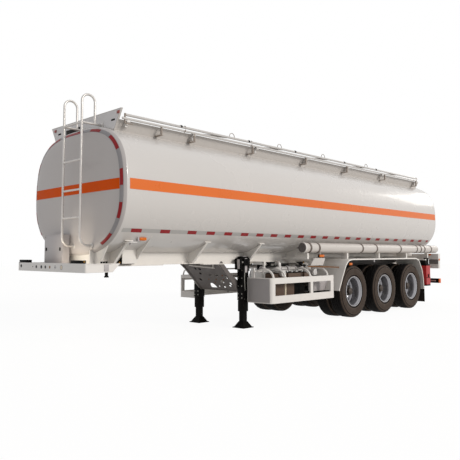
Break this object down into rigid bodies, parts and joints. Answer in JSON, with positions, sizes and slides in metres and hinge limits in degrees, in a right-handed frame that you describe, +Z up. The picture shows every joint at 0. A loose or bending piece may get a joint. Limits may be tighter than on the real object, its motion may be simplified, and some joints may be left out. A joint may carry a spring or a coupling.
{
  "type": "tanker trailer",
  "caption": "Road tanker semi-trailer with an oval tank, roof trough, folding handrail, front ladder, landing legs, valve frame, hose tube and twin wheels.",
  "frame": {"origin": "on the ground, at the middle of the overall length and width", "axes": "+X forward to the kingpin, +Y to the trailer's left, +Z up"},
  "size_m": [10.58, 2.5, 3.5982],
  "materials": {
    "white_paint": "gloss",
    "grey_paint": "satin",
    "black_paint": "satin",
    "stainless": "brushed",
    "rim_silver": "satin",
    "tyre": "matt",
    "flap_rubber": "matt",
    "red_plastic": "gloss"
  },
  "bodies": {
    "trailer": {"tank_shell": "white_paint", "roof_coaming": "white_paint", "chassis_front": "white_paint", "chassis_middle": "white_paint", "chassis_rear": "white_paint", "coupler_plate": "white_paint", "hose_tube": "white_paint", "valve_frame_left": "white_paint", "side_frame_right": "white_paint", "fender_left": "white_paint", "fender_right": "white_paint", "rear_light_beam": "white_paint", "roof_walkway": "grey_paint", "manhole_collar_1": "grey_paint", "manhole_collar_2": "grey_paint", "manhole_collar_3": "grey_paint", "front_cabinet": "grey_paint", "landing_brace": "grey_paint", "kingpin": "black_paint", "landing_leg_left": "black_paint", "landing_leg_right": "black_paint", "axle_1": "black_paint", "axle_2": "black_paint", "axle_3": "black_paint", "rear_underrun_bar": "black_paint", "handrail_base": "stainless", "front_ladder": "stainless", "discharge_pipe_1": "stainless", "discharge_pipe_2": "stainless", "mud_flap_left": "flap_rubber", "mud_flap_right": "flap_rubber", "extinguisher_box": "red_plastic"},
    "wheel_1_left": {"hub_1_left": "rim_silver", "tyre_1_left_outer": "tyre", "tyre_1_left_inner": "tyre"},
    "wheel_1_right": {"hub_1_right": "rim_silver", "tyre_1_right_outer": "tyre", "tyre_1_right_inner": "tyre"},
    "wheel_2_left": {"hub_2_left": "rim_silver", "tyre_2_left_outer": "tyre", "tyre_2_left_inner": "tyre"},
    "wheel_2_right": {"hub_2_right": "rim_silver", "tyre_2_right_outer": "tyre", "tyre_2_right_inner": "tyre"},
    "wheel_3_left": {"hub_3_left": "rim_silver", "tyre_3_left_outer": "tyre", "tyre_3_left_inner": "tyre"},
    "wheel_3_right": {"hub_3_right": "rim_silver", "tyre_3_right_outer": "tyre", "tyre_3_right_inner": "tyre"},
    "lid_1": {"manhole_lid_1": "stainless"},
    "lid_2": {"manhole_lid_2": "stainless"},
    "lid_3": {"manhole_lid_3": "stainless"},
    "hose_door": {"hose_tube_door": "black_paint"},
    "post_1": {"handrail_post_1": "stainless"},
    "post_2": {"handrail_post_2": "stainless"},
    "post_3": {"handrail_post_3": "stainless"},
    "post_4": {"handrail_post_4": "stainless"},
    "post_5": {"handrail_post_5": "stainless"},
    "top_rail": {"handrail_top": "stainless"}
  },
  "joints": [
    {"name": "wheel_1_left_spin", "type": "hinge", "parent": "trailer", "child": "wheel_1_left", "pos_m": [-0.88, 0.92, 0.535], "axis": [0, 1, 0], "continuous": true},
    {"name": "wheel_1_right_spin", "type": "hinge", "parent": "trailer", "child": "wheel_1_right", "pos_m": [-0.88, -0.92, 0.535], "axis": [0, 1, 0], "continuous": true},
    {"name": "wheel_2_left_spin", "type": "hinge", "parent": "trailer", "child": "wheel_2_left", "pos_m": [-2.19, 0.92, 0.535], "axis": [0, 1, 0], "continuous": true},
    {"name": "wheel_2_right_spin", "type": "hinge", "parent": "trailer", "child": "wheel_2_right", "pos_m": [-2.19, -0.92, 0.535], "axis": [0, 1, 0], "continuous": true},
    {"name": "wheel_3_left_spin", "type": "hinge", "parent": "trailer", "child": "wheel_3_left", "pos_m": [-3.5, 0.92, 0.535], "axis": [0, 1, 0], "continuous": true},
    {"name": "wheel_3_right_spin", "type": "hinge", "parent": "trailer", "child": "wheel_3_right", "pos_m": [-3.5, -0.92, 0.535], "axis": [0, 1, 0], "continuous": true},
    {"name": "lid_1_hinge", "type": "hinge", "parent": "trailer", "child": "lid_1", "pos_m": [2.912, 0, 3.2623], "axis": [0, -1, 0], "range_deg": [0, 100]},
    {"name": "lid_2_hinge", "type": "hinge", "parent": "trailer", "child": "lid_2", "pos_m": [-0.288, 0, 3.2623], "axis": [0, -1, 0], "range_deg": [0, 100]},
    {"name": "lid_3_hinge", "type": "hinge", "parent": "trailer", "child": "lid_3", "pos_m": [-3.488, 0, 3.2623], "axis": [0, -1, 0], "range_deg": [0, 100]},
    {"name": "hose_door_hinge", "type": "hinge", "parent": "trailer", "child": "hose_door", "pos_m": [0.736, 0.981, 1.427], "axis": [0, 0, -1], "range_deg": [0, 90]},
    {"name": "post_1_fold", "type": "hinge", "parent": "trailer", "child": "post_1", "pos_m": [3.375, 0.922, 3.215], "axis": [0, 1, 0], "range_deg": [0, 85.9]},
    {"name": "post_2_fold", "type": "hinge", "parent": "trailer", "child": "post_2", "pos_m": [1.855, 0.922, 3.215], "axis": [0, 1, 0], "range_deg": [0, 85.9]},
    {"name": "post_3_fold", "type": "hinge", "parent": "trailer", "child": "post_3", "pos_m": [0.335, 0.922, 3.215], "axis": [0, 1, 0], "range_deg": [0, 85.9]},
    {"name": "post_4_fold", "type": "hinge", "parent": "trailer", "child": "post_4", "pos_m": [-1.185, 0.922, 3.215], "axis": [0, 1, 0], "range_deg": [0, 85.9]},
    {"name": "post_5_fold", "type": "hinge", "parent": "trailer", "child": "post_5", "pos_m": [-2.705, 0.922, 3.215], "axis": [0, 1, 0], "range_deg": [0, 85.9]},
    {"name": "top_rail_fold", "type": "hinge", "parent": "post_1", "child": "top_rail", "pos_m": [2.60697, 0.95, 3.27], "axis": [0, 1, 0], "range_deg": [-85.9, 0]}
  ],
  "couplings": [
    {"joint": "post_2_fold", "follows": "post_1_fold", "ratio": 1},
    {"joint": "post_3_fold", "follows": "post_1_fold", "ratio": 1},
    {"joint": "post_4_fold", "follows": "post_1_fold", "ratio": 1},
    {"joint": "post_5_fold", "follows": "post_1_fold", "ratio": 1},
    {"joint": "top_rail_fold", "follows": "post_1_fold", "ratio": -1}
  ]
}
